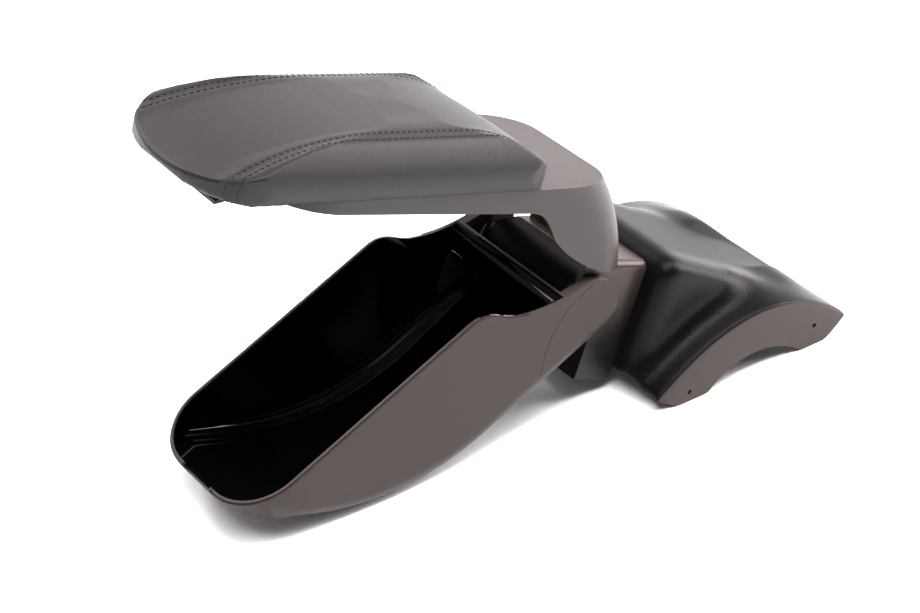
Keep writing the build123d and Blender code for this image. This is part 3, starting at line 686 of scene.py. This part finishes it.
def stitch_tree():
    """Geometry Nodes: one rounded stitch at each pitch along every line."""
    tree = bpy.data.node_groups.new("stitch_rows", "GeometryNodeTree")
    sides = tree.interface
    sides.new_socket("Geometry", in_out="INPUT", socket_type="NodeSocketGeometry")
    for name in ("Pitch", "Length", "Thickness"):
        sides.new_socket(name, in_out="INPUT", socket_type="NodeSocketFloat")
    sides.new_socket("Thread", in_out="INPUT", socket_type="NodeSocketMaterial")
    sides.new_socket("Geometry", in_out="OUTPUT", socket_type="NodeSocketGeometry")

    def add(kind, settings=None, sockets=None):
        node = tree.nodes.new(kind)
        for name, value in (settings or {}).items():
            setattr(node, name, value)
        for name, value in (sockets or {}).items():
            if isinstance(value, bpy.types.NodeSocket):
                tree.links.new(node.inputs[name], value)
            else:
                node.inputs[name].default_value = value
        return node.outputs

    given = add("NodeGroupInput")
    lines = add("GeometryNodeMeshToCurve", None, {0: given["Geometry"]})
    spaced = add("GeometryNodeResampleCurve", {"mode": "LENGTH"},
                 {"Curve": lines[0], "Length": given["Pitch"]})
    heading = add("GeometryNodeInputTangent")
    turn = add("FunctionNodeAlignRotationToVector", {"axis": "X"}, {"Vector": heading[0]})
    bead = add("GeometryNodeMeshUVSphere", None, {"Segments": 8, "Rings": 6, "Radius": 0.5})
    size = add("ShaderNodeCombineXYZ", None,
               {0: given["Length"], 1: given["Thickness"], 2: given["Thickness"]})
    placed = add("GeometryNodeInstanceOnPoints", None,
                 {"Points": spaced[0], "Instance": bead["Mesh"],
                  "Rotation": turn[0], "Scale": size[0]})
    real = add("GeometryNodeRealizeInstances", None, {0: placed[0]})
    shaded = add("GeometryNodeSetShadeSmooth", None, {0: real[0]})
    dressed = add("GeometryNodeSetMaterial", None,
                  {"Geometry": shaded[0], "Material": given["Thread"]})
    add("NodeGroupOutput", None, {0: dressed[0]})
    return tree


def sew_rows(pad, thread):
    points = []
    edges = []
    for side in (-1, 1):
        for gap in (-row_offset, row_offset):
            line = seam_row(pad, side, gap)
            first = len(points)
            points.extend(line)
            edges.extend((first + i, first + i + 1) for i in range(len(line) - 1))
    mesh = bpy.data.meshes.new("seam_stitches")
    mesh.from_pydata(points, edges, [])
    rows = link("seam_stitches", mesh)
    tree = stitch_tree()
    sewing = rows.modifiers.new("sewing", "NODES")
    sewing.node_group = tree
    sizes = {"Pitch": stitch_pitch, "Length": stitch_length, "Thickness": stitch_thickness,
             "Thread": thread}
    for item in tree.interface.items_tree:
        if item.in_out == "INPUT" and item.name in sizes:
            sewing[item.identifier] = sizes[item.name]
    plain_copy(rows)
    return rows


def make_camera():
    camera = bpy.data.objects.new("camera", bpy.data.cameras.new("camera"))
    bpy.context.scene.collection.objects.link(camera)
    camera.data.lens = 90
    camera.data.sensor_width = 36
    camera.location = (-0.8475, -1.1113, 1.0088)
    heading = Vector((0.4896, 0.6714, -0.5563))
    camera.rotation_euler = heading.to_track_quat("-Z", "Y").to_euler()
    bpy.context.scene.camera = camera


def make_floor():
    corners = [(x * floor_half, y * floor_half, 0) for x, y in ((-1, -1), (1, -1), (1, 1), (-1, 1))]
    mesh = bpy.data.meshes.new("floor")
    mesh.from_pydata(corners, [], [(0, 1, 2, 3)])
    floor = link("floor", mesh)
    material, finish = new_finish("white_floor")
    rays = [finish.add("ShaderNodeLightPath", None, None, "Is %s Ray" % kind)
            for kind in ("Camera", "Glossy", "Transmission")]
    seen = (rays[0] + rays[1] + rays[2]).least(1.0)
    white = finish.tint(seen, floor_grey, floor_white)
    finish.show(finish.add("ShaderNodeBsdfDiffuse", None, {"Color": white}))
    mesh.materials.append(material)


def make_world():
    """A studio: a low backdrop behind, boxes right and above, and a long box over the near side."""
    world = bpy.data.worlds.new("studio")
    bpy.context.scene.world = world
    world.use_nodes = True
    finish = Finish(world.node_tree)
    x, y, z = finish.axes(finish.add("ShaderNodeTexCoord", output="Generated"))
    behind = (x * 0.59 + y * 0.81).ease(0.1, 0.6)
    level = behind * (1.0 - z.ease(0.48, 0.68)) * backdrop_level
    for (east, north, up), low, high, strength in (right_box, top_box, strip_box):
        level = level + (x * east + y * north + z * up).ease(low, high) * strength
    across = 1.0 - abs(y + 0.27).ease(0.08, 0.16)
    along = 1.0 - abs(x - 0.05).ease(0.5, 0.65)
    level = level + across * along * (z > 0.0) * long_box_level + room_level
    light = finish.add("ShaderNodeBackground", None,
                       {"Color": (1, 0.92, 0.935, 1), "Strength": level})
    finish.add_output("ShaderNodeOutputWorld", light)


bpy.context.scene.view_settings.view_transform = "Standard"
make_camera()
make_floor()
make_world()
shade_solids()
paint(["storage_bin"], bin_plastic())
paint(["cheek_cap_left", "cheek_cap_right"], cap_plastic())
paint(["lid_frame"], lid_plastic())
paint(["post_body", "post_rear_cover"], post_plastic())
paint(["base_saddle"], saddle_plastic())
paint(["cushion_board"],
      plain_plastic("board_plastic", (0.026, 0.026, 0.026), (0.036, 0.036, 0.036), 0.6))
paint(["latch_lever"],
      plain_plastic("latch_plastic", (0.028, 0.027, 0.027), (0.04, 0.038, 0.037), 0.4))
paint(["bin_bushes", "lid_bushes", "friction_washers"],
      plain_plastic("bush_plastic", (0.68, 0.66, 0.61), (0.78, 0.76, 0.71), 0.5))
paint(["pivot_axle", "mounting_plate", "post_bolts", "bolt_washers", "cap_screws",
       "cushion_screws", "latch_pin", "latch_spring"], zinc_steel())

saddle = make_saddle()
saddle.data.materials.append(nodes["base_saddle"].data.materials[0])
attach(saddle, "base")
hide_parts("base_saddle")

leather = pad_leather()
paint(["cushion"], leather)
pad = make_pad()
stitches = sew_rows(pad, sewing_thread())
pad.data.materials.append(leather)
for piece in (pad, stitches):
    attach(piece, "lid")
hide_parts("cushion")
